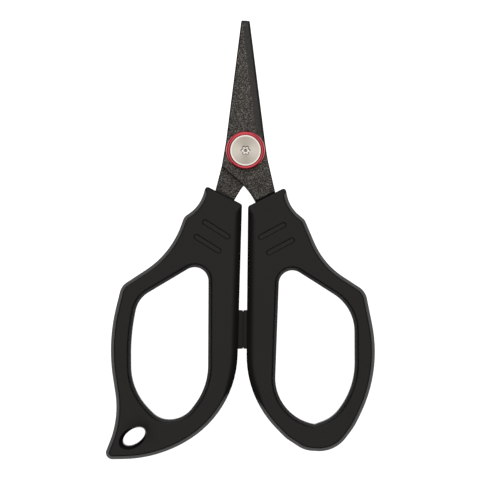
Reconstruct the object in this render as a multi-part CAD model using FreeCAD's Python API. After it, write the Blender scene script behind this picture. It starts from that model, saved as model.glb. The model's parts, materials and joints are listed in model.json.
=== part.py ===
import FreeCAD, Part

import math
import os

from FreeCAD import Vector

# Thread snips: two coated steel blades that turn on one screw, each with a soft-skinned plastic
# handle moulded round its tang. They lie flat: X is across the loops, Y runs towards the points,
# Z is up, and the table is Z = 0. All shapes are drawn from the pivot, in millimetres, and are
# then moved so that the origin is the middle of the footprint.

# Driving dimensions
PIVOT_X = 1.62
PIVOT_Y = 28.52
HANDLE_THICKNESS = 8.0
BLADE_THICKNESS = 1.9
BLADE_GAP = 0.2

EDGE_ROUND = 0.7        # round on the handles' rims
SKIN = 1.7              # soft skin over the rigid core
SKIN_AT_HOLE = 1.0
CUT_PAST = 1.0          # how far a cut runs past the faces that it goes through
CORD_HOLE = (4.0, 2.3)  # half length and half width of the oval cord hole
CORD_HOLE_AT = (-35.6, -91.3)
CORD_HOLE_TURN = 35.0
CORD_HOLE_FLARE = 0.9   # how much wider the hole is at the faces
CORD_HOLE_FLARE_DEPTH = 1.2

GRIP_LUG_RADIUS = 0.6   # core lugs that show through the skin
GRIP_LUG_GAP = 0.15
GRIP_LUG_SINK = 0.12

BEVEL_WIDTH = 2.2       # ground face behind the cutting edge
BEVEL_DROP = 1.2
SPINE_CHAMFER = 0.45
GRINDING_PAST = 2.0     # how far the grinding wheel runs past a blade's edge and point
TANG_HOLE_RADIUS = 1.1

BARREL_RADIUS = 2.5     # what the front blade turns on
BARREL_CLEARANCE = 0.05
BARREL_FLAT = 2.0       # from the axis to the flat that keys the barrel in the rear blade
NUT_FLANGE_RADIUS = 4.9
NUT_FLANGE_THICKNESS = 1.0
NUT_CHAMFER = 0.35
NUT_FLOOR = 0.2         # metal left under the end of the screw
SCREW_SHANK_RADIUS = 1.5
SCREW_HEAD_RADIUS = 4.88
SCREW_TOP = 7.85
SCREW_HEAD_THICKNESS = 0.9
SCREW_CHAMFER = 0.3
SIX_LOBE_RADIUS = 1.4
SIX_LOBE_SHARE = 0.27   # a lobe's radius as a share of the socket's
SIX_LOBE_DEPTH = 1.2
COLLAR_RADIUS = 6.15
COLLAR_HEIGHT = 1.25
COLLAR_FLOOR = 0.4
COLLAR_BORE = 4.98
COLLAR_CHAMFER = 0.35
WASHER_THICKNESS = 0.3
WASHER_RADIUS = 5.6
SPRING_RADIUS = 4.5
SPRING_BORE = 1.7
SPRING_THICKNESS = 0.15
PLAY = 0.02             # between a washer and the blade that slides on it

# The faces of the blades, up from the table
MIDDLE = HANDLE_THICKNESS / 2
REAR_BACK = MIDDLE - BLADE_GAP / 2 - BLADE_THICKNESS
REAR_INNER = REAR_BACK + BLADE_THICKNESS
FRONT_INNER = MIDDLE + BLADE_GAP / 2
FRONT_FACE = FRONT_INNER + BLADE_THICKNESS

# Outlines are polygons whose corners are rounded: x, y and the corner's radius.
LEFT_HANDLE = [
    (-1.1, -17.2, 1.0), (-12.6, -11.3, 0.9), (-14.6, -17.7, 11.8), (-19.6, -21.2, 3.2),
    (-23.7, -32.8, 28.7), (-39.6, -43.2, 5.1), (-44.1, -61.2, 57.5), (-40.3, -85.3, 30.3),
    (-45.6, -98.6, 2.1), (-27.3, -98.3, 40.5), (-3.0, -82.6, 32.8),
]
LEFT_LOOP = [
    (-11.8, -33.9, 4.4), (-12.0, -75.5, 21.0), (-19.8, -85.9, 9.0), (-27.5, -85.9, 7.4),
    (-36.5, -76.7, 19.3), (-36.6, -58.1, 66.4), (-34.3, -47.3, 8.7),
]
RIGHT_HANDLE = [
    (0.8, -17.8, 1.0), (12.7, -11.8, 0.9), (14.2, -18.2, 10.9), (18.9, -22.1, 2.9),
    (24.9, -36.2, 24.6), (38.3, -44.9, 5.7), (43.45, -70.3, 45.0), (34.7, -88.2, 22.0),
    (28.5, -96.3, 10.5), (18.8, -95.7, 9.0), (12.8, -91.8, 12.0), (0.2, -78.7, 33.0),
]
RIGHT_LOOP = [
    (10.9, -34.9, 4.3), (34.8, -50.1, 14.0), (34.9, -75.7, 24.0), (27.8, -85.3, 11.6),
    (22.1, -87.4, 1.0), (16.9, -86.4, 14.8), (9.3, -78.3, 15.0),
]
# The front blade, with its tang running down to the right, and the rear blade seen from behind.
# They differ only behind the pivot: the rear one's waist is sharper and lies further forward.
BLADE_TIP = [
    (-6.2, 3.2, 30.0), (-1.35, 41.5, 0.4), (1.1, 41.5, 0.8), (5.65, 4.0, 1.0), (6.2, 2.6, 1.0),
    (7.1, -2.9, 40.0),
]
FRONT_BLADE = BLADE_TIP + [
    (9.65, -14.0, 30.0), (11.0, -21.0, 6.0), (8.5, -28.0, 1.0), (4.7, -28.0, 1.0),
    (4.3, -18.9, 4.0), (1.3, -12.8, 22.0), (-7.6, -5.0, 0.3),
]
REAR_BLADE = BLADE_TIP + [
    (9.95, -14.0, 30.0), (11.0, -21.0, 6.0), (8.5, -28.0, 1.0), (4.9, -28.0, 1.0),
    (5.2, -18.5, 4.0), (1.1, -11.7, 8.0), (-7.3, -4.3, 0.3),
]
TANG_HOLES = [(7.3, -20.4), (6.7, -25.2)]
CUTTING_EDGE = [(1.1, 41.5), (5.65, 4.0)]
SPINE = [(-1.35, 41.5), (-6.2, 3.2)]

# The ends of the two lugs on each handle
LEFT_LUGS = [((-12.9, -22.9), (-5.7, -27.5)), ((-15.6, -27.6), (-8.6, -32.0))]
RIGHT_LUGS = [((4.9, -27.7), (12.1, -23.8)), ((7.5, -32.6), (14.8, -28.7))]

# Where the handles meet: the line x = -0.76, with each pad's back, its length and its height
PAD_MEET = -0.76
PAD_GAP = 0.06
PAD_TOP = -51.0
PAD_LENGTH = 12.3
PAD_THICKNESS = 5.6
PAD_ROUND = 0.5
PAD_LEFT_BACK = -3.3
PAD_RIGHT_BACK = 1.2
PAD_STEM = 2.2          # the stem that holds each pad in its handle
PAD_STEM_LENGTH = 8.0
PAD_STEM_THICKNESS = 3.0

NEARLY = 1e-6           # lengths closer than this are the same


def side_of(outline):
    """+1 where the outline runs anticlockwise, and -1 where it runs clockwise."""
    area = 0.0
    for (x0, y0, _), (x1, y1, _) in zip(outline, outline[1:] + outline[:1]):
        area += x0 * y1 - x1 * y0
    return math.copysign(1, area)


def corners_of(outline):
    """Each corner with the directions of the sides before and after it, and its radius."""
    points = [Vector(x, y, 0) for x, y, _ in outline]
    for i, here in enumerate(points):
        before = (here - points[i - 1]).normalize()
        after = (points[(i + 1) % len(points)] - here).normalize()
        yield here, before, after, outline[i][2]


def inset(outline, distance):
    """The outline moved in by a distance. A negative distance moves it out."""
    side = side_of(outline)
    moved = []
    for here, before, after, radius in corners_of(outline):
        inward = Vector(-before.y - after.y, before.x + after.x, 0) * side
        here = here + inward * (distance / (1 + before.dot(after)))
        outer_corner = before.cross(after).z * side > 0
        radius = radius - distance if outer_corner else radius + distance
        moved.append((here.x, here.y, max(radius, 0)))
    return moved


def rounded_wire(outline, z):
    """Straight sides joined by tangent arcs."""
    ends = []
    for here, before, after, radius in corners_of(outline):
        turn = before.getAngle(after)
        reach = radius * math.tan(turn / 2)
        bulge = radius * (1 / math.cos(turn / 2) - 1)
        middle = here + (after - before).normalize() * bulge
        ends.append((here - before * reach, middle, here + after * reach))
    lift = Vector(0, 0, z)
    edges = []
    for i, (start, middle, end) in enumerate(ends):
        if (end - start).Length > NEARLY:
            edges.append(Part.Arc(start + lift, middle + lift, end + lift).toShape())
        following = ends[(i + 1) % len(ends)][0]
        if (following - end).Length > NEARLY:
            edges.append(Part.LineSegment(end + lift, following + lift).toShape())
    return Part.Wire(edges)


def prism(outline, bottom, top):
    return Part.Face(rounded_wire(outline, bottom)).extrude(Vector(0, 0, top - bottom))


def disc(radius, bottom, top, x=0.0, y=0.0):
    return Part.makeCylinder(radius, top - bottom, Vector(x, y, bottom))


def turned(profile):
    """A part turned on the pivot's axis, from its half section in radius and height."""
    points = [Vector(r, 0, z) for r, z in profile]
    face = Part.Face(Part.makePolygon(points + points[:1]))
    return face.revolve(Vector(0, 0, 0), Vector(0, 0, 1), 360)


def slot_prism(ends, radius, bottom, top):
    """A long round-ended slot between two points."""
    a, b = (Vector(x, y, bottom) for x, y in ends)
    along = (b - a).normalize() * radius
    across = Vector(-along.y, along.x, 0)
    wire = Part.Wire([
        Part.LineSegment(a + across, b + across).toShape(),
        Part.Arc(b + across, b + along, b - across).toShape(),
        Part.LineSegment(b - across, a - across).toShape(),
        Part.Arc(a - across, a - along, a + across).toShape(),
    ])
    return Part.Face(wire).extrude(Vector(0, 0, top - bottom))


def mirrored(shape):
    """The shape turned over about the pivot line, front to back: x changes sign and z swaps faces."""
    copy = shape.copy()
    copy.rotate(Vector(0, 0, MIDDLE), Vector(0, 1, 0), 180)
    return copy


def edge_frame(line):
    """The start of a line on a blade, the way along it, and its length."""
    start, end = Vector(*line[0], 0), Vector(*line[1], 0)
    return start, (end - start).normalize(), (end - start).Length


def edge_cut(line, width, drop, outward):
    """The wedge that grinding takes off a blade's outer face beside one of its edges."""
    beyond = GRINDING_PAST
    start, along, length = edge_frame(line)
    across = Vector(along.y, -along.x, 0)
    if across.dot(outward) < 0:
        across = across * -1
    start = start - along * beyond
    top = Vector(0, 0, FRONT_FACE)
    slope = drop / width
    section = [
        start - across * width + top,
        start + across * beyond + top,
        start + across * beyond + top - Vector(0, 0, drop + slope * beyond),
    ]
    face = Part.Face(Part.makePolygon(section + section[:1]))
    return face.extrude(along * (length + beyond))


def make_blade(outline):
    """A blade that lies in front, with its tang's holes but not the pivot's."""
    blade = prism(outline, FRONT_INNER, FRONT_FACE)
    blade = blade.cut(edge_cut(CUTTING_EDGE, BEVEL_WIDTH, BEVEL_DROP, Vector(1, 0, 0)))
    blade = blade.cut(edge_cut(SPINE, SPINE_CHAMFER, SPINE_CHAMFER, Vector(-1, 0, 0)))
    for x, y in TANG_HOLES:
        blade = blade.cut(disc(TANG_HOLE_RADIUS, FRONT_INNER - CUT_PAST, FRONT_FACE + CUT_PAST, x, y))
    return blade


def barrel_key(bottom, top):
    """What the flat leaves of the barrel, where it sits in the rear blade."""
    whole = disc(BARREL_RADIUS, bottom, top)
    size = 4 * BARREL_RADIUS
    side = Part.makeBox(size, size, top - bottom, Vector(-size / 2, -BARREL_FLAT, bottom))
    return whole.common(side)


def make_blades():
    """The front blade turns on the barrel, and the barrel's flat keys it in the rear blade."""
    bore = disc(BARREL_RADIUS + BARREL_CLEARANCE, FRONT_INNER - CUT_PAST, FRONT_FACE + CUT_PAST)
    front = make_blade(FRONT_BLADE).cut(bore)
    rear = mirrored(make_blade(REAR_BLADE))
    rear = rear.cut(barrel_key(REAR_BACK - CUT_PAST, REAR_INNER + CUT_PAST))
    return front, rear


def make_nut(barrel_top):
    """The barrel nut: a flange behind the rear blade and a barrel up through both blades."""
    flange_bottom = REAR_BACK - NUT_FLANGE_THICKNESS
    nut = turned([
        (0, flange_bottom), (NUT_FLANGE_RADIUS - NUT_CHAMFER, flange_bottom),
        (NUT_FLANGE_RADIUS, flange_bottom + NUT_CHAMFER), (NUT_FLANGE_RADIUS, REAR_BACK), (0, REAR_BACK),
    ])
    nut = nut.fuse(barrel_key(REAR_BACK, REAR_INNER))
    nut = nut.fuse(disc(BARREL_RADIUS, REAR_INNER, barrel_top))
    thread = disc(SCREW_SHANK_RADIUS, flange_bottom + NUT_FLOOR, barrel_top + CUT_PAST)
    return nut.removeSplitter().cut(thread)


def make_screw(head_bottom):
    """The pivot screw, with a flat head and a six-lobed socket."""
    shank_bottom = REAR_BACK - NUT_FLANGE_THICKNESS + NUT_FLOOR
    screw = turned([
        (0, shank_bottom), (SCREW_SHANK_RADIUS, shank_bottom), (SCREW_SHANK_RADIUS, head_bottom),
        (SCREW_HEAD_RADIUS, head_bottom), (SCREW_HEAD_RADIUS, SCREW_TOP - SCREW_CHAMFER),
        (SCREW_HEAD_RADIUS - SCREW_CHAMFER, SCREW_TOP), (0, SCREW_TOP),
    ])
    return screw.cut(six_lobe(SIX_LOBE_RADIUS, SCREW_TOP - SIX_LOBE_DEPTH, SCREW_TOP + CUT_PAST))


def make_collar(bottom):
    """The dished ring round the screw's head."""
    top = bottom + COLLAR_HEIGHT
    floor = bottom + COLLAR_FLOOR
    outer, inner = COLLAR_CHAMFER, COLLAR_CHAMFER / 2
    return turned([
        (BARREL_RADIUS, bottom), (COLLAR_RADIUS, bottom), (COLLAR_RADIUS, top - outer),
        (COLLAR_RADIUS - outer, top), (COLLAR_BORE + inner, top), (COLLAR_BORE, top - inner),
        (COLLAR_BORE, floor), (BARREL_RADIUS, floor),
    ])


def flat_washer(bottom, top):
    return disc(WASHER_RADIUS, bottom, top).cut(disc(BARREL_RADIUS, bottom - CUT_PAST, top + CUT_PAST))


def make_spring(bottom, top):
    """A conical washer: its rim rests on the collar's floor and its middle under the screw's head."""
    sheet = SPRING_THICKNESS
    return turned([
        (SPRING_BORE, top - sheet), (SPRING_RADIUS, bottom),
        (SPRING_RADIUS, bottom + sheet), (SPRING_BORE, top),
    ])


def make_pivot():
    """The barrel nut, the screw, and the rings and washers between them."""
    slip_top = FRONT_FACE + WASHER_THICKNESS
    floor_top = slip_top + COLLAR_FLOOR
    head_bottom = SCREW_TOP - SCREW_HEAD_THICKNESS
    return {
        "pivot_nut": make_nut(floor_top),
        "pivot_screw": make_screw(head_bottom),
        "collar_ring": make_collar(slip_top),
        "slip_washer": flat_washer(FRONT_FACE + PLAY, slip_top),
        "blade_washer": flat_washer(REAR_INNER, FRONT_INNER - PLAY),
        "spring_washer": make_spring(floor_top, head_bottom),
    }


def six_lobe(radius, bottom, top):
    """A six-lobed socket: a round hole with six round lobes about it."""
    lobe = radius * SIX_LOBE_SHARE
    reach = radius - lobe
    socket = disc(reach + lobe / 4, bottom, top)
    for i in range(6):
        angle = math.radians(60 * i + 30)
        socket = socket.fuse(disc(lobe, bottom, top, reach * math.cos(angle), reach * math.sin(angle)))
    return socket.removeSplitter()


def oval_wire(half_length, half_width, z):
    x, y = CORD_HOLE_AT
    wire = Part.Wire(Part.Ellipse(Vector(0, 0, 0), half_length, half_width).toShape())
    wire.rotate(Vector(0, 0, 0), Vector(0, 0, 1), CORD_HOLE_TURN)
    wire.translate(Vector(x, y, z))
    return wire


def cord_hole(wider, flared):
    """The oval hole through the tail of the left handle."""
    half_length, half_width = (size + wider for size in CORD_HOLE)
    through = Vector(0, 0, HANDLE_THICKNESS + 2 * CUT_PAST)
    hole = Part.Face(oval_wire(half_length, half_width, -CUT_PAST)).extrude(through)
    if not flared:
        return hole
    flare = CORD_HOLE_FLARE
    for face, inside in ((0, CORD_HOLE_FLARE_DEPTH), (HANDLE_THICKNESS, -CORD_HOLE_FLARE_DEPTH)):
        mouth = oval_wire(half_length + flare, half_width + flare, face)
        throat = oval_wire(half_length, half_width, face + inside)
        hole = hole.fuse(Part.makeLoft([throat, mouth], True))
    return hole


def rim_edges(solid):
    """The edges round the top and bottom faces."""
    found = []
    for edge in solid.Edges:
        heights = [vertex.Z for vertex in edge.Vertexes]
        for face in (0, HANDLE_THICKNESS):
            if all(abs(z - face) < NEARLY for z in heights):
                found.append(edge)
    return found


def make_handle(outline, loop, lugs, blade, pad, hole=None):
    """The rigid core round the tang, and the soft skin moulded over it."""
    below, above = -CUT_PAST, HANDLE_THICKNESS + CUT_PAST
    block = prism(outline, 0, HANDLE_THICKNESS)
    block = block.cut(prism(loop, below, above))
    block = block.makeFillet(EDGE_ROUND, rim_edges(block))

    inner = prism(inset(outline, SKIN), SKIN, HANDLE_THICKNESS - SKIN)
    inner = inner.cut(prism(inset(loop, -SKIN), below, above))
    if hole:
        inner = inner.cut(cord_hole(SKIN_AT_HOLE, False))
        block = block.cut(cord_hole(0, True))

    grip = block.cut(inner)
    core = inner
    for ends in lugs:
        window = slot_prism(ends, GRIP_LUG_RADIUS + GRIP_LUG_GAP, below, above)
        grip = grip.cut(window)
        core = core.fuse(slot_prism(ends, GRIP_LUG_RADIUS, GRIP_LUG_SINK, HANDLE_THICKNESS - GRIP_LUG_SINK))
    core = core.removeSplitter()
    for part in (blade, pad):
        core = core.cut(part)
        grip = grip.cut(part)
    return core, grip


def make_pad(face, back):
    """A stop pad: a round-edged block, with a stem that its handle holds."""
    low, high = sorted((face, back))
    bottom = PAD_TOP - PAD_LENGTH
    base = MIDDLE - PAD_THICKNESS / 2
    block = Part.makeBox(high - low, PAD_LENGTH, PAD_THICKNESS, Vector(low, bottom, base))
    rounded = [e for e in block.Edges if all(abs(v.X - face) < NEARLY for v in e.Vertexes)]
    block = block.makeFillet(PAD_ROUND, rounded)
    stem_low = back - PAD_STEM if face > back else back
    middle = PAD_TOP - PAD_LENGTH / 2
    stem = Part.makeBox(
        PAD_STEM, PAD_STEM_LENGTH, PAD_STEM_THICKNESS,
        Vector(stem_low, middle - PAD_STEM_LENGTH / 2, MIDDLE - PAD_STEM_THICKNESS / 2),
    )
    return block.fuse(stem).removeSplitter()


def build():
    front, rear = make_blades()
    nodes = {"front_blade": front, "rear_blade": rear}
    nodes.update(make_pivot())
    left_pad = make_pad(PAD_MEET - PAD_GAP / 2, PAD_LEFT_BACK)
    right_pad = make_pad(PAD_MEET + PAD_GAP / 2, PAD_RIGHT_BACK)
    nodes["left_stop_pad"] = left_pad
    nodes["right_stop_pad"] = right_pad
    left = make_handle(LEFT_HANDLE, LEFT_LOOP, LEFT_LUGS, rear, left_pad, hole=True)
    right = make_handle(RIGHT_HANDLE, RIGHT_LOOP, RIGHT_LUGS, front, right_pad)
    nodes["left_handle_core"], nodes["left_handle_grip"] = left
    nodes["right_handle_core"], nodes["right_handle_grip"] = right
    return nodes


def main():
    os.makedirs("parts", exist_ok=True)
    nodes = build()
    whole = FreeCAD.BoundBox()
    for name, shape in nodes.items():
        shape.translate(Vector(PIVOT_X, PIVOT_Y, 0))
        whole.add(shape.optimalBoundingBox(False, False))
        shape.exportStep(f"parts/{name}.step")
        print(f"{name}: {len(shape.Solids)} solid, {shape.Volume:.1f} mm3, valid {shape.isValid()}")
    print(f"size {whole.XLength:.2f} x {whole.YLength:.2f} x {whole.ZLength:.2f} mm")
    print(f"centre {whole.Center.x:.3f}, {whole.Center.y:.3f}, lowest {whole.ZMin:.3f}")


main()
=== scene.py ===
import json
import math

import bmesh
import bpy
import numpy as np
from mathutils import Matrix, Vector
from mathutils.geometry import delaunay_2d_cdt


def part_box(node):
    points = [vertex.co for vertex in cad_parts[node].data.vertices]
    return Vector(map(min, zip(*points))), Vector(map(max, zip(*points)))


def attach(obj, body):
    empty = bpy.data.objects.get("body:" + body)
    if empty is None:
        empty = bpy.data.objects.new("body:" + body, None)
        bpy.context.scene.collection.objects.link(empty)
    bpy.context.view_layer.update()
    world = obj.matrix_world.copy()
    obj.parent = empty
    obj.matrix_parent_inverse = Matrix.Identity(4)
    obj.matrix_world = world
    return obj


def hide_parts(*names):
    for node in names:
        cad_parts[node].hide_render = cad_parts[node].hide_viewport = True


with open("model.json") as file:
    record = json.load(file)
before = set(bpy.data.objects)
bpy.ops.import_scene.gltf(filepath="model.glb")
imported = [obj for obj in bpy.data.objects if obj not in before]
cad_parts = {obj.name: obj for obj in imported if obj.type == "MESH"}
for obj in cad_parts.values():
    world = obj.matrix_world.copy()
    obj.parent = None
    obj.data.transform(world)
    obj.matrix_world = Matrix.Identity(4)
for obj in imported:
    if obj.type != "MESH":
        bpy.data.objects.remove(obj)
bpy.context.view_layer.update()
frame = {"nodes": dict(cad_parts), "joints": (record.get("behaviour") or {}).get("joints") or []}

# ---------------------------------------------------------------------------------------------
# The two blades. Each is stamped from stainless strip and ground on its outer face: a wide bevel
# behind the cutting edge and a narrow one along the spine. A pebbled black non-stick coat is
# baked on before the bevels get their last pass, so these are smooth and the flats are grained.

MM = 0.001
PIVOT = frame["joints"][0]["pos_m"]

# Outlines are polygons whose corners are rounded: x, y and the corner's radius, in millimetres from
# the pivot. The blades differ only behind it.
BLADE_TIP = [
    (-6.2, 3.2, 30.0), (-1.35, 41.5, 0.45), (1.1, 41.5, 0.8), (5.65, 4.0, 1.0), (6.2, 2.6, 1.0),
    (7.1, -2.9, 40.0),
]
FRONT_BLADE = BLADE_TIP + [
    (9.65, -14.0, 30.0), (11.0, -21.0, 6.0), (8.5, -28.0, 1.0), (4.7, -28.0, 1.0),
    (4.3, -18.9, 4.0), (1.3, -12.8, 22.0), (-7.6, -5.0, 0.45),
]
REAR_BLADE = BLADE_TIP + [
    (9.95, -14.0, 30.0), (11.0, -21.0, 6.0), (8.5, -28.0, 1.0), (4.9, -28.0, 1.0),
    (5.2, -18.5, 4.0), (1.1, -11.7, 8.0), (-7.3, -4.3, 0.45),
]
CUTTING_EDGE = (1.1 + 41.5j, 5.65 + 4.0j)
SPINE = (-1.35 + 41.5j, -6.2 + 3.2j)
BEVEL_WIDTH, BEVEL_DROP = 2.2, 1.2
SPINE_BEVEL, SPINE_SLOPE = 0.45, 0.5
BEVEL_RUN_OUT = 1.6              # how far the wheel takes to lift out of a bevel
RIDGE_SOFTNESS = 0.12
PAST_END = 0.4                   # how far a held line or a ground rim carries on past a bevel's end
# An edge's shape is its width, its arc's radius and its tilt, as rounded_rim takes them.
BLADE_EDGE = (0.30, 0.28, 36)
GROUND_TILT = 6                  # the tilt where a bevel slopes down to the edge already
# A rim counts as ground out to these reaches, from a bevel's line and past its heel, and the
# grinding fades over the last part of each.
GROUND_REACH, GROUND_FADE = 0.8, 0.6
HEEL_REACH, HEEL_FADE = 0.5, 2.0
RIDGE_MARGINS = (3.0, -PAST_END)     # from the ends of the bevels' lines to their ridges' ends
SPINE_MARGINS = (0.8, 0.4)
BORE, BORE_EDGE = 2.55, (0.1, 0.1, 60)
# Where each blade goes into its handle. The outer face slopes down there, which leaves a groove
# along the handle's mouth. The rear blade's mouth is given as seen from behind.
FRONT_MOUTH = (0.8 - 17.8j, 12.7 - 11.8j)
REAR_MOUTH = (1.1 - 17.2j, 12.6 - 11.3j)
GROOVE_WIDTH, GROOVE_SLOPE = 0.52, 0.6
GROOVE_BEND = (0.03, 0.08)       # how near the groove's side its bend is held
GROOVE_TOLERANCE = 0.01          # so that points on the groove's side count as in it, and get the painted shade
MOUTH_MARGINS = (3.9, 4.6)       # from the mouth's ends to where the tang starts, inside its rim


def outline_points(corners, hole=False, arc_steps=14, side_steps=12):
    """Points round a polygon with rounded corners, as complex numbers, and the normals into the solid.

    Where the side's direction a turns by the angle t, the arc of radius r starts r tan(|t|/2)
    before the corner. After the share u of the turn the left normal is n(u) = i a exp(i u t),
    and the point is start + sign(t) r (n(0) - n(u)). Straight sides join one arc's end to the
    next arc's start. An outline runs anticlockwise and a hole clockwise, so left is the solid.
    """
    x, y, radius = np.array(corners, float).T
    corner = x + 1j * y
    if (np.sum(x * np.roll(y, -1) - np.roll(x, -1) * y) > 0) == hole:
        corner, radius = corner[::-1], radius[::-1]
    before = corner - np.roll(corner, 1)
    before = before / abs(before)
    after = np.roll(before, -1)
    turn = np.angle(after / before)
    start = corner - before * radius * np.tan(abs(turn) / 2)
    left = 1j * before[:, None] * np.exp(1j * turn[:, None] * np.linspace(0, 1, arc_steps))
    arc = start[:, None] + (np.sign(turn) * radius)[:, None] * (left[:, :1] - left)
    along = np.linspace(0, 1, side_steps + 2)[1:-1]
    side = arc[:, -1:] + (np.roll(start, -1)[:, None] - arc[:, -1:]) * along
    side_left = np.repeat(1j * after[:, None], side_steps, axis=1)
    return np.concatenate([arc, side], 1).ravel(), np.concatenate([left, side_left], 1).ravel()


WALL_START = 0.06                # from an edge down to the first row that is all wall
CREASE = 0.1                     # share of an edge's straight slope between its last two rows


def rounded_rim(points, left, shape, top, bottom, steps=7, flat=0.25):
    """Rows of a rim: over its upper edge, down its wall and under its lower edge.

    The shape is a width, a radius r and a tilt in degrees, which may vary along the rim. The surface
    leaves the face along an arc, at whose angle t the inset is width - r sin t and the fall is
    r (1 - cos t). From the tilt on it goes straight to the wall. One more row lies on each face.
    """
    width, radius, tilt = (np.broadcast_to(value, points.shape) for value in shape)
    t = np.radians(tilt) * np.linspace(0, 1, steps)[:, None]
    inset, fall = width - radius * np.sin(t), radius * (1 - np.cos(t))
    crease = CREASE * inset[-1:]
    last = fall[-1:] + inset[-1:] * np.tan(t[-1:])
    before_last = last - crease * np.tan(t[-1:])
    inset = np.concatenate([[width + flat], inset, crease, 0 * last, 0 * last])
    fall = np.concatenate([0 * last, fall, before_last, last, last + WALL_START])
    place = points + left * inset
    upper = top(place) - fall
    lower = bottom(place) + fall
    return np.concatenate([place, place[::-1]]), np.concatenate([upper, lower[::-1]])


def level(height):
    """A flat face at that height, as rounded_rim and plate take it."""
    return lambda place: np.full(place.shape, height)


ALMOST_ROUND = 0.999             # share of its half width that a round end's corners take


def round_ended(corners, half_width):
    """A polygon, whose corners are complex numbers, with its corners rounded into whole arcs."""
    return [(corner.real, corner.imag, ALMOST_ROUND * half_width) for corner in corners]


def strip_faces(rows, columns, first=0, closed=False):
    """Quads between the rows of a grid whose columns go right round.

    A closed grid's last row meets its first.
    """
    row = np.arange(rows if closed else rows - 1)[:, None] * columns
    below = (row + columns) % (rows * columns)
    here = np.arange(columns)
    beside = (here + 1) % columns
    corners = [row + here, below + here, below + beside, row + beside]
    return first + np.stack(corners, -1).reshape(-1, 4)


def face_triangles(rings, lines):
    """Triangles between an outer ring, the rings of the holes in it, and lines that they keep to.

    They are the constrained Delaunay triangles, as index triples into the points in the order
    given, less those that are only a line and those whose middle a hole's ring winds round.
    """
    edges, first = [], 0
    for group, ends_meet in [(ring, True) for ring in rings] + [(line, False) for line in lines]:
        index = first + np.arange(len(group))
        pairs = np.stack([index, np.roll(index, -1)], 1)
        edges += (pairs if ends_meet else pairs[:-1]).tolist()
        first += len(group)
    points = np.concatenate([*rings, *lines])
    flat = [Vector((p.real, p.imag)) for p in points]
    inside_the_outline, tolerance = 1, 1e-7
    found = delaunay_2d_cdt(flat, edges, [], inside_the_outline, tolerance)
    source = np.array([ids[0] for ids in found[3]])
    triangles = source[np.array(found[2])]
    a, b, c = np.sort(triangles, axis=1).T
    triangles = triangles[(a < b) & (b < c)]
    for hole in rings[1:]:
        spokes = hole - points[triangles].mean(1)[:, None]
        turns = np.angle(np.roll(spokes, -1, axis=1) * spokes.conj()).sum(1)
        triangles = triangles[abs(turns) < 1]
    a, b, c = points[triangles].T
    clockwise = ((b - a).conj() * (c - a)).imag < 0
    triangles[clockwise] = triangles[clockwise][:, ::-1]
    return triangles


def plate(outline, holes, top, bottom, upper_lines=()):
    """A flat piece: rims carried round its outline and its holes, and faces triangulated between them.

    outline and each hole are the rows that rounded_rim gives. top and bottom give a face's height.
    Returns the place (complex), the height, the quads and the triangles.
    """
    loops = [outline, *holes]
    place = np.concatenate([rows.ravel() for rows, _ in loops])
    height = np.concatenate([levels.ravel() for _, levels in loops])
    quads, first_row, last_row, first = [], [], [], 0
    for rows, _ in loops:
        count, columns = rows.shape
        quads.append(strip_faces(count, columns, first))
        first_row.append(first + np.arange(columns))
        last_row.append(first + (count - 1) * columns + np.arange(columns))
        first += count * columns
    line_index = first + np.arange(sum(len(line) for line in upper_lines))
    above = face_triangles([rows[0] for rows, _ in loops], list(upper_lines))
    above = np.concatenate([*first_row, line_index])[above]
    below = face_triangles([rows[-1] for rows, _ in loops], [])
    below = np.concatenate(last_row)[below][:, ::-1]
    if len(upper_lines):
        added = np.concatenate(upper_lines)
        place = np.concatenate([place, added])
        height = np.concatenate([height, top(added)])
    return place, height, np.concatenate(quads), np.concatenate([above, below])


class Signal:
    """A value or colour that a socket carries. Arithmetic on it adds Math nodes to the finish."""

    def __init__(self, finish, socket):
        self.finish, self.socket = finish, socket

    def math(self, operation, *values):
        return self.finish.node("ShaderNodeMath", {"operation": operation}, dict(enumerate(values)))

    def __add__(self, other):
        return self.math("ADD", self, other)

    def __sub__(self, other):
        return self.math("SUBTRACT", self, other)

    def __rsub__(self, other):
        return self.math("SUBTRACT", other, self)

    def __mul__(self, other):
        return self.math("MULTIPLY", self, other)

    def __pow__(self, other):
        return self.math("POWER", self, other)

    __radd__, __rmul__ = __add__, __mul__


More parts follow.
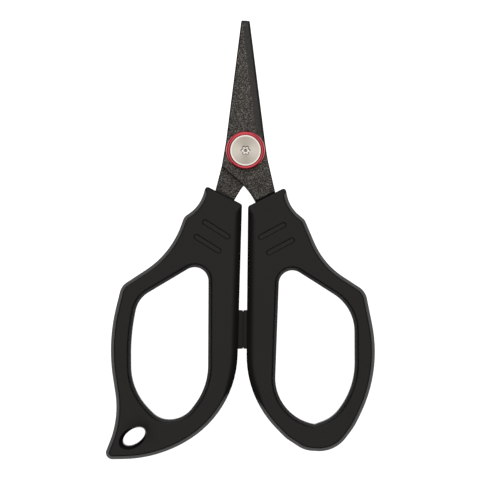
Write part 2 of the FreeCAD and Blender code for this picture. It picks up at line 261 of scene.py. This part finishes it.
class Finish:
    """The nodes of a material or of the world: its shader, and what varies it from place to place."""

    def __init__(self, name, owner=None, shader="Principled BSDF", **settings):
        self.material = owner or bpy.data.materials.new(name)
        self.material.use_nodes = True
        self.tree = self.material.node_tree
        self.shader = self.tree.nodes[shader]
        self.place = self.node("ShaderNodeTexCoord", output="Object")
        self.set(**settings)

    def node(self, kind, settings=None, inputs=None, output=0):
        """Adds a node. A ramp's stops are given as stops=[(place, colour), ...]."""
        node = self.tree.nodes.new(kind)
        for name, value in (settings or {}).items():
            if name == "stops":
                ramp = node.color_ramp
                while len(ramp.elements) < len(value):
                    ramp.elements.new(0.5)
                for element, (place, colour) in zip(ramp.elements, value):
                    element.position = place
                    element.color = (*colour, 1)
            else:
                setattr(node, name, value)
        for name, value in (inputs or {}).items():
            self.feed(node.inputs[name], value)
        return Signal(self, node.outputs[output])

    def feed(self, socket, value):
        if isinstance(value, Signal):
            self.tree.links.new(value.socket, socket)
        elif isinstance(value, tuple) and len(value) == 3 and socket.type == "RGBA":
            socket.default_value = (*value, 1)
        else:
            socket.default_value = value

    def set(self, **settings):
        """Sets the shader's sockets; an underscore in a name stands for a space."""
        for name, value in settings.items():
            self.feed(self.shader.inputs[name.replace("_", " ")], value)

    def parts(self, kind, value):
        """The three parts of a vector or a colour."""
        outputs = self.node(kind, None, {0: value}).socket.node.outputs
        return [Signal(self, socket) for socket in outputs]

    def attribute(self, name):
        """A value that the mesh carries at its points."""
        return self.node("ShaderNodeAttribute", {"attribute_name": name}, output="Fac")

    def noise(self, size_mm, detail=2.0, place=None):
        """Soft noise from 0 to 1 whose lumps are about that size."""
        inputs = {"Vector": place or self.place, "Scale": 1 / (size_mm * MM), "Detail": detail}
        return self.node("ShaderNodeTexNoise", None, inputs)

    def mix(self, share, first, second):
        """A colour between two others."""
        inputs = {0: share, 6: first, 7: second}
        return self.node("ShaderNodeMix", {"data_type": "RGBA"}, inputs, output=2)

    def ramp(self, value, low, high):
        """0 where the value is low or less, rising smoothly to 1 where it is high or more."""
        settings = {"interpolation_type": "SMOOTHSTEP"}
        inputs = {"Value": value, "From Min": low, "From Max": high}
        return self.node("ShaderNodeMapRange", settings, inputs)

    def bump(self, height, depth_mm, strength=0.5):
        """The normals of a relief that deep."""
        inputs = {"Height": height, "Distance": depth_mm * MM, "Strength": strength}
        return self.node("ShaderNodeBump", None, inputs)


SAME_POINT = 0.0005              # points closer than this are merged


def add_piece(name, place, height, faces, finish, body, stands_for, slot, attributes=None):
    """Makes a piece from points about the pivot, in millimetres, and lets it ride on its body."""
    points = np.stack([place.real, place.imag, height], 1) * MM
    points[:, :2] += PIVOT[:2]
    mesh = bpy.data.meshes.new(name)
    mesh.from_pydata(points.tolist(), [], [face for group in faces for face in group.tolist()])
    for attribute, values in (attributes or {}).items():
        data = mesh.attributes.new(attribute, "FLOAT", "POINT").data
        data.foreach_set("value", values.astype(np.float32))
    shell = bmesh.new()
    shell.from_mesh(mesh)
    bmesh.ops.remove_doubles(shell, verts=shell.verts, dist=SAME_POINT * MM)
    shell.to_mesh(mesh)
    shell.free()
    mesh.shade_smooth()
    mesh.materials.append(finish.material)
    piece = bpy.data.objects.new(name, mesh)
    bpy.context.scene.collection.objects.link(piece)
    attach(piece, body)
    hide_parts(*stands_for)


def length_of(line):
    return abs(line[1] - line[0])


def way_of(line):
    return (line[1] - line[0]) / length_of(line)


def beside(line, place):
    """How far a place lies to the left of a line, and how far along it."""
    along = (place - line[0]) / way_of(line)
    return along.imag, along.real


def smooth(share):
    """The share held between 0 and 1 and eased at both ends: 3 s^2 - 2 s^3."""
    share = np.clip(share, 0, 1)
    return share * share * (3 - 2 * share)


def softened(drop, softness):
    """max(drop, 0) with its corner eased over the softness on each side."""
    eased = (drop + softness) ** 2 / (4 * softness)
    return np.where(abs(drop) < softness, eased, np.maximum(drop, 0))


def bevel_drop(place):
    """How far the bevels lie under the outer face.

    It is in proportion to the distance past a bevel's ridge, and fades out over the last part of the
    bevel's line, where the wheel lifts.
    """
    drops = []
    ridges = [
        (CUTTING_EDGE, BEVEL_WIDTH, BEVEL_DROP / BEVEL_WIDTH, 1, RIDGE_SOFTNESS),
        (SPINE, SPINE_BEVEL, SPINE_SLOPE, -1, RIDGE_SOFTNESS / 2),
    ]
    for line, width, slope, outward, softness in ridges:
        leftward, along = beside(line, place)
        past = softened(width + outward * leftward, softness)
        lift = smooth((along - length_of(line)) / BEVEL_RUN_OUT + 1)
        drops.append(slope * past * (1 - lift))
    return np.maximum(*drops)


def parallel(line, offset, margins, count):
    """Points along a line, moved to its left by the offset and in from its ends by the margins."""
    start, end = margins
    along = np.linspace(start, length_of(line) - end, count)
    return line[0] + way_of(line) * along + 1j * offset * way_of(line)


GRIT = 0.20                      # size of one pebble of the coat
CLOUDING, CONTRAST = 0.08, 3.2   # the higher the contrast, the fewer bright pebbles
DARK_END, BRIGHT_START = 0.016, 0.026   # Y, in metres, between which the speckle brightens
DIMMEST, BRIGHTENING = 0.80, 0.15
RIDGE_HIGHLIGHT_WIDTH = 0.10                # half width of the painted highlight along a bevel's ridge
GROUND_DEPTH = 0.08              # the depth under the flat from which a bevel is all smooth

coat = Finish("black_non_stick_coat")
ground = coat.attribute("ground")
pebbles = {"Vector": coat.place, "Scale": 1 / (GRIT * MM)}
from_middle = coat.node("ShaderNodeTexVoronoi", None, pebbles, output="Distance")
pebble_colour = coat.node("ShaderNodeTexVoronoi", None, pebbles, output="Color")
tint = coat.parts("ShaderNodeSeparateColor", pebble_colour)[0]
cloud = coat.noise(2.4)
# The speckle is a little darker near the tangs than along the blades.
forward = coat.ramp(coat.parts("ShaderNodeSeparateXYZ", coat.place)[1], DARK_END, BRIGHT_START)
speckle = (tint + CLOUDING * (cloud - 0.5)) ** CONTRAST * (DIMMEST + BRIGHTENING * forward)
flat_colour = coat.mix(speckle, (0.002, 0.0017, 0.0014), (0.565, 0.522, 0.465))
streak = coat.noise(0.6)
bevel_colour = coat.mix(streak, (0.056, 0.053, 0.050), (0.112, 0.106, 0.101))
# Painted highlight: a light grey line, broken into specks, along the cutting bevel's ridge, where the
# rounded ridge would catch the light.
painted_glint = coat.attribute("worn") * coat.ramp(coat.noise(0.5), 0.50, 0.62)
face_colour = coat.mix(ground, flat_colour, bevel_colour)
# Painted shade: where stamped is 1, on the blade's rims and in the groove along the handle's mouth, the
# coat is coloured near black for the dark lines of shade at the edges and where the blade goes under the
# handle.
colour = coat.mix(coat.attribute("stamped"), face_colour, (0.010, 0.009, 0.008))
coat.set(
    Base_Color=coat.mix(painted_glint, colour, (0.22, 0.21, 0.20)),
    Roughness=0.46 + 0.16 * tint * (1 - ground),
    Normal=coat.bump((1 - from_middle) * (1 - ground) + 0.1 * streak, 0.05),
)


def add_blade(name, side):
    """The front blade has side 1. The rear one has side -1, and is drawn from behind and turned over."""
    low, high = (corner.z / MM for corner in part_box(name))
    thickness = high - low
    mouth = FRONT_MOUTH if side > 0 else REAR_MOUTH

    def outer(place):
        into_groove = np.clip(GROOVE_WIDTH - beside(mouth, place)[0], 0, 2 * GROOVE_WIDTH)
        return thickness - bevel_drop(place) - GROOVE_SLOPE * into_groove

    inner = level(0.0)
    points, left = outline_points(FRONT_BLADE if side > 0 else REAR_BLADE, side_steps=40)
    by_bevel = 0
    for line in (CUTTING_EDGE, SPINE):
        across, along = beside(line, points)
        near = smooth((GROUND_REACH - abs(across)) / GROUND_FADE) * (along > -PAST_END)
        before_heel = smooth((length_of(line) + HEEL_REACH - along) / HEEL_FADE)
        by_bevel = np.maximum(by_bevel, near * before_heel)
    width, radius, tilt = BLADE_EDGE
    shape = (width, radius, tilt + (GROUND_TILT - tilt) * by_bevel)
    rim = rounded_rim(points, left, shape, outer, inner, steps=5, flat=0.05)

    # The outer face keeps to lines where it bends: the ridges, the run-out and the groove.
    spread = RIDGE_SOFTNESS
    ridges = (BEVEL_WIDTH - spread, BEVEL_WIDTH, BEVEL_WIDTH + spread)
    lines = [parallel(CUTTING_EDGE, -offset, RIDGE_MARGINS, 90) for offset in ridges]
    run_out = (length_of(CUTTING_EDGE) - 1.2 * BEVEL_RUN_OUT, -PAST_END)
    for offset in np.linspace(0, BEVEL_WIDTH, 7)[1:-1]:
        lines.append(parallel(CUTTING_EDGE, -offset, run_out, 14))
    ridges = (SPINE_BEVEL - spread / 2, SPINE_BEVEL + spread / 2)
    lines += [parallel(SPINE, offset, SPINE_MARGINS, 90) for offset in ridges]
    inside, outside = GROOVE_BEND
    bends = (-GROOVE_WIDTH, GROOVE_WIDTH - inside, GROOVE_WIDTH, GROOVE_WIDTH + outside)
    lines += [parallel(mouth, offset, MOUTH_MARGINS, 12) for offset in bends]

    bore = round_ended(BORE * np.array([1 - 1j, 1 + 1j, -1 + 1j, -1 - 1j]), BORE)
    bore = outline_points(bore, hole=True, side_steps=1)
    holes = [rounded_rim(*bore, BORE_EDGE, outer, inner, steps=3)]
    place, height, quads, triangles = plate(rim, holes, outer, inner, lines)

    on_outer = height > thickness / 4
    drop = np.where(on_outer, bevel_drop(place), 0)
    # The painted highlight's mask: a narrow band about the bevel's ridge, on the outer face.
    past, along = beside(CUTTING_EDGE, place)
    from_ridge = abs(BEVEL_WIDTH + past) / RIDGE_HIGHLIGHT_WIDTH
    before_end = along < length_of(CUTTING_EDGE)
    on_ridge = np.where(on_outer & before_end, np.exp(-from_ridge ** 2), 0)
    # The painted shade's mask: 1 on the rim's rows and in the mouth's groove, where the coat is coloured
    # near black for shade.
    painted_dark_rims_and_groove = np.zeros(place.shape)
    painted_dark_rims_and_groove[points.size:rim[0].size - points.size] = 1
    painted_dark_rims_and_groove[beside(mouth, place)[0] < GROOVE_WIDTH + GROOVE_TOLERANCE] = 1
    if side < 0:
        place = -place.real + 1j * place.imag
    height = low + height if side > 0 else high - height
    body = "front_half" if side > 0 else "rear_half"
    add_piece(name + "_ground", place, height, [quads, triangles], coat, body, [name], "blade_coating",
              {"ground": smooth(drop / GROUND_DEPTH), "worn": on_ridge, "stamped": painted_dark_rims_and_groove})


add_blade("rear_blade", -1)
add_blade("front_blade", 1)

# ---------------------------------------------------------------------------------------------
# The pivot's washers: one of slippery plastic between the blades, another on top of the front
# blade, and a conical one of spring steel under the screw's head that sets the tightness.
# They are stamped or moulded, and only their edges show.

slippery = Finish("washer_nylon", Roughness=0.45)
slippery.set(
    Base_Color=slippery.mix(slippery.noise(0.8), (0.60, 0.59, 0.54), (0.70, 0.69, 0.64)),
    Normal=slippery.bump(slippery.noise(0.15), 0.01, 0.4),
)


RING_WANDER = 9                  # how far the turned rings wander from even, in radians


def turning_marks(finish, spacing_mm, depth_mm):
    """Fine rings about the pivot, of uneven depth, as a lathe leaves them, and the angle round it.

    The relief is n sin(2 pi r / spacing + n RING_WANDER), where n is a noise that depends on the
    radius r alone.
    """
    settings, axis = {"operation": "SUBTRACT"}, (PIVOT[0], PIVOT[1], 0)
    from_axis = finish.node("ShaderNodeVectorMath", settings, {0: finish.place, 1: axis})
    x, y, _ = finish.parts("ShaderNodeSeparateXYZ", from_axis)
    radius = (x * x + y * y) ** 0.5
    unevenness = finish.noise(0.5, place=finish.node("ShaderNodeCombineXYZ", None, {0: radius}))
    turns = radius * (2 * math.pi / (spacing_mm * MM)) + unevenness * RING_WANDER
    rings = radius.math("SINE", turns)
    return finish.bump(rings * unevenness, depth_mm), x.math("ARCTAN2", y, x)


spring_steel = Finish("spring_steel", Metallic=1.0, Roughness=0.35)
spring_steel.set(
    Base_Color=spring_steel.mix(spring_steel.noise(0.6), (0.40, 0.39, 0.37), (0.50, 0.49, 0.46)),
    Normal=turning_marks(spring_steel, 0.15, 0.004)[0],
)
washers = {"blade_washer": slippery, "slip_washer": slippery, "spring_washer": spring_steel}
for washer, finish in washers.items():
    for material_slot in frame["nodes"][washer].material_slots:
        material_slot.material = finish.material

# ---------------------------------------------------------------------------------------------
# The pivot's hard parts: a barrel nut pushed up through both blades, a red anodised collar that
# hides the washers, and a flat screw with a six-lobed socket. All are turned on a lathe, the
# nut and screw from stainless bar and the collar from aluminium bar.

TURNED_STEPS = 144


def turned(profile, closed=False, lobes=None):
    """A turned surface: each row of the profile is carried round the pivot.

    A row is (radius, height), or (radius, height, share), which adds that share of the socket's
    radius at each angle, so that rows pass from the six-lobed socket to plain circles.
    """
    angle = np.linspace(0, 2 * math.pi, TURNED_STEPS, endpoint=False)
    rows = np.array([(*row, 0.0)[:3] for row in profile])
    socket = 0 if lobes is None else lobes(angle)
    radius = rows[:, :1] + rows[:, 2:] * socket
    place = radius * np.exp(1j * angle)
    height = np.repeat(rows[:, 1:2], TURNED_STEPS, axis=1)
    return place.ravel(), height.ravel(), [strip_faces(len(rows), TURNED_STEPS, closed=closed)]


def eased(corners, radius, steps=5):
    """A half section with rounded corners, as (radius, height) rows. Its two ends stay as they are.

    At a corner c the curve is the parabola s (1 - u)^2 + 2 c u (1 - u) + e u^2 from s, that radius
    before c, to e, that radius after it, or nearer where a side is short.
    """
    longest = 0.45               # share of a side that one corner may take
    points = np.array([r + 1j * z for r, z in corners])
    rows = [points[:1]]
    for before, here, after in zip(points, points[1:], points[2:]):
        reach = min(radius, longest * abs(here - before), longest * abs(after - here))
        start = here + (before - here) / abs(before - here) * reach
        end = here + (after - here) / abs(after - here) * reach
        u = np.linspace(0, 1, steps)
        rows.append(start * (1 - u) ** 2 + 2 * here * u * (1 - u) + end * u ** 2)
    rows.append(points[-1:])
    return [(p.real, p.imag) for p in np.concatenate(rows)]


def turned_size(node):
    """The lower end, the upper end and the largest radius of a turned piece."""
    low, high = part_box(node)
    return low.z / MM, high.z / MM, (high.x - low.x) / 2 / MM


SOCKET_RADIUS, LOBE_HEIGHT = 1.20, 0.33


def six_lobes(angle):
    """The socket's radius at an angle: a circle with six rounded lobes."""
    return SOCKET_RADIUS + LOBE_HEIGHT * np.cos(6 * angle)


bright = Finish("turned_stainless", Metallic=1.0)
polished = bright.attribute("polished")
marks, angle = turning_marks(bright, 0.11, 0.003)
fan = bright.noise(0.9, detail=1.0, place=bright.node("ShaderNodeCombineXYZ", None, {0: angle * MM}))
# Painted reflection: the turned steel is coloured lighter to the left and right of the axis and darker
# above and below it, by cos 2θ with a noise by angle, for the fan of reflections on a lathe-turned face.
# The same noise also varies the roughness.
painted_sheen = 0.5 + 0.4 * angle.math("COSINE", 2 * angle) + 0.5 * (fan - 0.5)
painted_sheen_colour = bright.mix(painted_sheen, (0.47, 0.435, 0.395), (0.74, 0.705, 0.655))
bright.set(
    Base_Color=bright.mix(polished, painted_sheen_colour, (0.93, 0.91, 0.87)),
    Roughness=(0.24 + 0.10 * fan) * (1 - 0.55 * polished),
    Normal=marks,
)

# The screw's face, from its axis outwards: a dark pilot hole, a flat polished ledge, the socket's
# sloping wall, and the face. A row is a radius, a depth and a share of the six-lobed radius.
SCREW_FACE = [
    (0, 1.2, 0), (0, 0.75, 0.36), (0, 0.32, 0.39), (0, 0.27, 0.42),
    (0, 0.25, 0.46), (0, 0.25, 0.48), (0, 0.25, 0.80), (0, 0.25, 0.82),
    (0, 0.23, 0.85), (0, 0.05, 0.97), (0, 0.02, 0.99), (0.03, 0, 1.0),
    (1.0, 0, 0.6), (1.9, 0, 0.2), (2.5, 0, 0), (3.6, 0, 0),
]
HEAD_DEPTH, SHANK_RADIUS = 0.9, 1.5
POLISHED_DEPTHS = (0.02, 0.30)   # the socket is polished between these depths
SOCKET_LIMIT = 2                 # a radius outside the socket
SCREW_RIM = 0.40                 # width of the slight polished slope round the head
RIM_TOLERANCE = 0.01

low, high, head = turned_size("pivot_screw")
rows = [(radius, high - depth, share) for radius, depth, share in SCREW_FACE]
rows += eased([(4.2, high), (head - SCREW_RIM, high), (head - 0.02, high - 0.03), (head, high - 0.08),
               (head, high - HEAD_DEPTH), (SHANK_RADIUS, high - HEAD_DEPTH), (SHANK_RADIUS, low),
               (0, low)], 0.04)
place, height, faces = turned(rows, lobes=six_lobes)
shallow, deep = POLISHED_DEPTHS
in_socket = (height < high - shallow) & (height > high - deep) & (abs(place) < SOCKET_LIMIT)
on_rim = (abs(place) > head - SCREW_RIM - RIM_TOLERANCE) & (height > high - deep)
add_piece("pivot_screw_turned", place, height, faces, bright, "rear_half", ["pivot_screw"], "screw_steel",
          {"polished": (in_socket | on_rim).astype(float)})

BARREL_RADIUS, NUT_CHAMFER = 2.5, 0.35
BARREL_SHORT = 0.02              # how far the barrel ends under the collar's floor
RECESS_RADIUS, RECESS_DEPTH = 1.05, 0.25    # in the middle of the flange, with a sloping side

low, high, flange = turned_size("pivot_nut")
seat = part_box("rear_blade")[0].z / MM
barrel_top, recess_floor = high - BARREL_SHORT, low + RECESS_DEPTH
rows = eased([(0, barrel_top), (BARREL_RADIUS, barrel_top), (BARREL_RADIUS, seat), (flange, seat),
              (flange, low + NUT_CHAMFER), (flange - NUT_CHAMFER, low),
              (RECESS_RADIUS + RECESS_DEPTH, low), (RECESS_RADIUS, recess_floor), (0, recess_floor)], 0.08)
place, height, faces = turned(rows)
chamfer = NUT_CHAMFER + RIM_TOLERANCE
on_rim = (abs(place) > flange - chamfer) & (height < low + chamfer)
add_piece("pivot_nut_turned", place, height, faces, bright, "rear_half", ["pivot_nut"], "screw_steel",
          {"polished": on_rim.astype(float)})

anodised = Finish("red_anodised", Metallic=1.0)
bloom = anodised.noise(1.5)
anodised.set(
    Base_Color=anodised.mix(bloom, (0.66, 0.062, 0.088), (0.76, 0.092, 0.118)),
    Roughness=0.27 + 0.06 * bloom,
    Coat_Weight=0.5,
    Coat_Roughness=0.2,
    Normal=turning_marks(anodised, 0.2, 0.003)[0],
)

COLLAR_HOLE, COLLAR_FLOOR, COLLAR_BORE = 2.6, 0.4, 4.93
BORE_CHAMFER = 0.08
CROWN = 0.72                     # the round over the collar's outer shoulder

low, high, outer_radius = turned_size("collar_ring")
turn = np.linspace(0, math.pi / 2, 12)
shoulder = [
    (outer_radius - CROWN + CROWN * math.sin(q), high - CROWN + CROWN * math.cos(q)) for q in turn
]
section = [
    (COLLAR_HOLE, low), (COLLAR_HOLE, low + COLLAR_FLOOR), (COLLAR_BORE, low + COLLAR_FLOOR),
    (COLLAR_BORE, high - BORE_CHAMFER), (COLLAR_BORE + BORE_CHAMFER, high),
]
under = eased([shoulder[-1], (outer_radius, low), (COLLAR_HOLE, low)], 0.16)
rows = eased(section, 0.12)[:-1] + shoulder + under[1:-1]
add_piece("collar_ring_turned", *turned(rows, closed=True), anodised, "rear_half", ["collar_ring"],
          "collar_anodising")

# ---------------------------------------------------------------------------------------------
# The handles. A rigid black core is moulded round each tang, and a soft-touch skin over the
# core in a second shot. Two long lugs of the core come up through the skin on both faces, just
# under flush, and grip the skin. The left handle ends in a tail with an oval hole for a cord.

LEFT_HANDLE = [
    (-1.1, -17.2, 1.0), (-12.6, -11.3, 0.9), (-14.6, -17.7, 11.8), (-19.6, -21.2, 3.2),
    (-23.7, -32.8, 28.7), (-39.6, -43.2, 5.1), (-44.1, -61.2, 57.5), (-40.3, -85.3, 30.3),
    (-45.6, -98.6, 2.1), (-27.3, -98.3, 40.5), (-3.0, -82.6, 32.8),
]
LEFT_LOOP = [
    (-11.8, -33.9, 4.4), (-12.0, -75.5, 21.0), (-19.8, -85.9, 9.0), (-27.5, -85.9, 7.4),
    (-36.5, -76.7, 19.3), (-36.6, -58.1, 66.4), (-34.3, -47.3, 8.7),
]
RIGHT_HANDLE = [
    (0.8, -17.8, 1.0), (12.7, -11.8, 0.9), (14.2, -18.2, 10.9), (18.9, -22.1, 2.9),
    (24.9, -36.2, 24.6), (38.3, -44.9, 5.7), (43.45, -70.3, 45.0), (34.7, -88.2, 22.0),
    (28.5, -96.3, 10.5), (18.8, -95.7, 9.0), (12.8, -91.8, 12.0), (0.2, -78.7, 33.0),
]
RIGHT_LOOP = [
    (10.9, -34.9, 4.3), (34.8, -50.1, 14.0), (34.9, -75.7, 24.0), (27.8, -85.3, 11.6),
    (22.1, -87.4, 1.0), (16.9, -86.4, 14.8), (9.3, -78.3, 15.0),
]
LEFT_LUGS = [((-12.9, -22.9), (-5.7, -27.5)), ((-15.6, -27.6), (-8.6, -32.0))]
RIGHT_LUGS = [((4.9, -27.7), (12.1, -23.8)), ((7.5, -32.6), (14.8, -28.7))]
LUG_RADIUS, LUG_GAP = 0.6, 0.24
# The edges' shapes. Those of the gap and of the mouth blend into the outer edge.
OUTER_EDGE = (1.5, 0.7, 57)
LOOP_EDGE = (1.5, 0.9, 52)
MOUTH_EDGE = (0.55, 0.5, 36)
GAP_EDGE = (2.75, 4.05, 42)      # where the handles face each other
WINDOW_EDGE = (0.15, 0.15, 34)
GAP_REACH, GAP_FADE = 6.5, 3.5   # how far from the middle the gap's edge ends, and its fade
GAP_LOWER_END, GAP_LOWER_FADE = -84, 8      # the same at the gap's lower end
MOUTH_REACH, MOUTH_FADE = 0.9, 1.9  # how far from a mouth its edge holds, and its fade

CORD_HOLE_AT = -35.6 - 91.3j
CORD_HOLE_HALF = (4.0, 2.3)
CORD_HOLE_TURN = math.radians(35)
CORD_HOLE_FLARE = 0.85
CORD_HOLE_FLARE_SHIFT = -0.35 - 0.35j
CORD_HOLE_SHARES = [1.12, 1.02, 0.95, 0.55, 0.14, 0.02, 0.0]
CORD_HOLE_DEPTHS = [0.0, 0.02, 0.10, 0.62, 1.10, 1.30, 1.55]


def slot_corners(ends, radius):
    """A long round-ended slot, as a polygon with rounded corners."""
    a, b = complex(*ends[0]), complex(*ends[1])
    along = (b - a) / abs(b - a) * radius
    across = 1j * along
    corners = [a - along - across, b + along - across, b + along + across, a - along + across]
    return round_ended(corners, radius)


def cord_hole_rows(bottom, top):
    """Rows round the oval hole: its flared mouth, its throat, and its lower mouth.

    A row is the oval a cos w + i b sin w, turned, with both half lengths wider by a share of the
    flare and the middle moved by the same share of the flare's shift.
    """
    w = -np.linspace(0, 2 * math.pi, 96, endpoint=False)
    share = np.array(CORD_HOLE_SHARES)[:, None]
    wider = share * CORD_HOLE_FLARE
    oval = (CORD_HOLE_HALF[0] + wider) * np.cos(w) + 1j * (CORD_HOLE_HALF[1] + wider) * np.sin(w)
    place = CORD_HOLE_AT + share * CORD_HOLE_FLARE_SHIFT + oval * np.exp(1j * CORD_HOLE_TURN)
    fall = np.repeat(np.array(CORD_HOLE_DEPTHS)[:, None], w.size, axis=1)
    return np.concatenate([place, place[::-1]]), np.concatenate([top - fall, (bottom + fall)[::-1]])


def soft_touch(name, sheen):
    """Black soft-touch plastic: fine spark-eroded texture, and faint unevenness from handling."""
    finish = Finish(name, Specular_IOR_Level=0.35)
    handling = finish.noise(9.0)
    finish.set(
        Base_Color=finish.mix(handling, (0.0065, 0.0058, 0.0051), (0.0085, 0.0077, 0.0069)),
        Roughness=sheen + 0.05 * handling,
        Normal=finish.bump(finish.noise(0.16), 0.012),
    )
    return finish


skin = soft_touch("soft_touch_skin", 0.36)
core_plastic = soft_touch("core_plastic", 0.32)


def add_grip(side, corners, loop, lugs, body, cord_hole):
    node = side + "_handle_grip"
    low, high = (corner.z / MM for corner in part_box(node))
    top, bottom = level(high), level(low)

    points, left = outline_points(corners, side_steps=24)
    by_gap = smooth((GAP_REACH - abs(points.real)) / GAP_FADE)
    by_gap = by_gap * smooth((points.imag - GAP_LOWER_END) / GAP_LOWER_FADE)
    mouth = (complex(*corners[0][:2]), complex(*corners[1][:2]))
    from_mouth = smooth((abs(beside(mouth, points)[0]) - MOUTH_REACH) / MOUTH_FADE)
    shape = [
        at_mouth + (outer + (gap - outer) * by_gap - at_mouth) * from_mouth
        for outer, gap, at_mouth in zip(OUTER_EDGE, GAP_EDGE, MOUTH_EDGE)
    ]
    outline = rounded_rim(points, left, shape, top, bottom, steps=9)
    holes = [rounded_rim(*outline_points(loop, hole=True), LOOP_EDGE, top, bottom, steps=9)]
    for ends in lugs:
        window = slot_corners(ends, LUG_RADIUS + LUG_GAP)
        window = outline_points(window, hole=True, arc_steps=8, side_steps=4)
        holes.append(rounded_rim(*window, WINDOW_EDGE, top, bottom, steps=4, flat=0.06))
    if cord_hole:
        holes.append(cord_hole_rows(low, high))
    place, height, quads, triangles = plate(outline, holes, top, bottom)
    add_piece(node + "_moulded", place, height, [quads, triangles], skin, body, [node], "grip_skin")
    for material_slot in frame["nodes"][side + "_handle_core"].material_slots:
        material_slot.material = core_plastic.material


add_grip("left", LEFT_HANDLE, LEFT_LOOP, LEFT_LUGS, "rear_half", True)
add_grip("right", RIGHT_HANDLE, RIGHT_LOOP, RIGHT_LUGS, "front_half", False)

# ---------------------------------------------------------------------------------------------
# The stop pads: two small rubber blocks, each held by a stem in its handle. They meet when the
# blades are closed and keep the finger loops from pinching.

rubber = Finish("stop_pad_rubber", Specular_IOR_Level=0.35)
dust = rubber.noise(0.5, detail=3.0)
rubber.set(
    Base_Color=rubber.mix(dust, (0.018, 0.017, 0.016), (0.028, 0.027, 0.026)),
    Roughness=0.62 + 0.1 * dust,
    Normal=rubber.bump(dust, 0.02, 0.4),
)

PAD_EDGE = (0.14, 0.14, 80)
PAD_FLAT = 0.0001                # so narrow that the face starts at the edge
PAD_STEM = 2.2
PAD_SWELL = 0.028                # the rubber bulges until the two pads all but touch
MEETING_CORNER, HELD_CORNER = 0.5, 0.15


def add_pad(side, body):
    node = side + "_stop_pad"
    low, high = (np.array(corner) / MM - np.array([*PIVOT[:2], 0]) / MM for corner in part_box(node))
    if side == "left":
        low[0] += PAD_STEM
        high[0] += PAD_SWELL
        left_radius, right_radius = HELD_CORNER, MEETING_CORNER
    else:
        low[0] -= PAD_SWELL
        high[0] -= PAD_STEM
        left_radius, right_radius = MEETING_CORNER, HELD_CORNER
    corners = [
        (low[0], low[1], left_radius), (high[0], low[1], right_radius),
        (high[0], high[1], right_radius), (low[0], high[1], left_radius),
    ]
    top, bottom = level(high[2]), level(low[2])
    points, left = outline_points(corners, arc_steps=8, side_steps=4)
    rim = rounded_rim(points, left, PAD_EDGE, top, bottom, steps=5, flat=PAD_FLAT)
    place, height, quads, triangles = plate(rim, [], top, bottom)
    add_piece(node + "_moulded", place, height, [quads, triangles], rubber, body, [node], "pad_rubber")


add_pad("left", "rear_half")
add_pad("right", "front_half")

# ---------------------------------------------------------------------------------------------
# The table, the studio and the camera. The table is plain white and gives out a little light of
# its own. A warm patch of light is straight overhead in dark surroundings, a faint soft light
# stands beyond the points, and a long lens looks straight down.

TABLE_SIZE = 6                   # metres

bpy.ops.mesh.primitive_plane_add(size=TABLE_SIZE)
table = bpy.context.object
table.name = "table"
white = Finish("pale_table", Roughness=0.9, Specular_IOR_Level=0.1, Emission_Strength=1.0)
white.set(
    Emission_Color=(1.0, 1.0, 1.0),
    Base_Color=white.mix(white.noise(4.0), (0.90, 0.90, 0.90), (0.92, 0.92, 0.92)),
)
table.data.materials.append(white.material)

# The sky by height, which is 1 straight overhead: dark as far as the patch's edge, then warm.
DARK, WARM = (0.10, 0.10, 0.10), (1.0, 0.955, 0.90)
PATCH_EDGE, PATCH_FULL = 0.86, 0.95

bpy.context.scene.world = bpy.data.worlds.new("studio")
studio = Finish("studio", bpy.context.scene.world, "Background", Strength=1.0)
direction = studio.node("ShaderNodeTexCoord", output="Generated")
height = studio.parts("ShaderNodeSeparateXYZ", direction)[2]
stops = [(0.0, DARK), (PATCH_EDGE, DARK), (PATCH_FULL, WARM), (1.0, WARM)]
studio.set(Color=studio.node("ShaderNodeValToRGB", {"stops": stops}, {"Fac": height}))

KEY_AT, KEY_SIZE, KEY_POWER = (-0.15, 1.0, 1.0), (1.2, 1.0), 4.0

key = bpy.data.lights.new("soft_key", "AREA")
key.shape = "RECTANGLE"
key.size, key.size_y = KEY_SIZE
key.energy = KEY_POWER
key_object = bpy.data.objects.new("soft_key", key)
bpy.context.scene.collection.objects.link(key_object)
key_object.location = KEY_AT
key_object.rotation_euler = (-Vector(KEY_AT)).to_track_quat("-Z", "Y").to_euler()

FIELD = 153.2                    # width of the view
LENS, SENSOR = 300.0, 36.0
AIM = (-0.14, -0.05, 6.0)

camera = bpy.data.cameras.new("camera")
camera.lens, camera.sensor_width = LENS, SENSOR
camera.clip_start, camera.clip_end = 0.05, 20.0
camera_object = bpy.data.objects.new("camera", camera)
bpy.context.scene.collection.objects.link(camera_object)
distance = FIELD * MM * LENS / SENSOR
camera_object.location = (AIM[0] * MM, AIM[1] * MM, distance + AIM[2] * MM)
bpy.context.scene.camera = camera_object
bpy.context.scene.view_settings.view_transform = "Standard"
